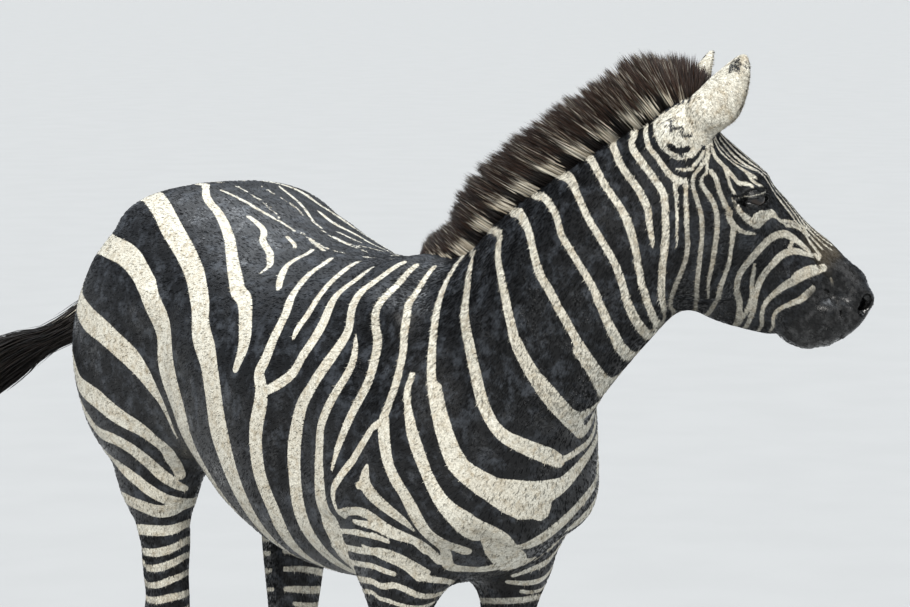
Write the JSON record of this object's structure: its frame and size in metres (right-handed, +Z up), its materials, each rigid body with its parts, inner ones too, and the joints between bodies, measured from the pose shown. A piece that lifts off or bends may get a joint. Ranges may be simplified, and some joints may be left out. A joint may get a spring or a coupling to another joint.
{
  "type": "zebra",
  "caption": "Life-size still model of a standing plains zebra, head turned to its left, tail swung out behind.",
  "frame": {"origin": "centre of the whole model's footprint box, on the floor under the hooves", "axes": "+Z up; +Y towards the rump, so the trunk faces -Y; +X to the animal's left"},
  "size_m": [0.9758, 1.8762, 1.6273],
  "materials": {
    "hide": "short striped coat, black-brown and cream",
    "ear": "short pale coat with dark marks",
    "eye": "wet gloss",
    "mane": "stiff upright hair, banded with the coat's stripes",
    "tail_hair": "long coarse black hair",
    "hoof": "worn horn"
  },
  "bodies": {
    "root": {"trunk": "hide", "neck": "hide", "head": "hide", "ear_left": "ear", "ear_right": "ear", "eye_left": "eye", "eye_right": "eye", "mane": "mane", "fore_right_upper": "hide", "fore_right_lower": "hide", "hoof_fore_right": "hoof", "fore_left_upper": "hide", "fore_left_lower": "hide", "hoof_fore_left": "hoof", "hind_right_upper": "hide", "hind_right_lower": "hide", "hoof_hind_right": "hoof", "hind_left_upper": "hide", "hind_left_lower": "hide", "hoof_hind_left": "hoof", "tail_dock": "hide", "tail_tuft": "tail_hair"}
  },
  "joints": []
}
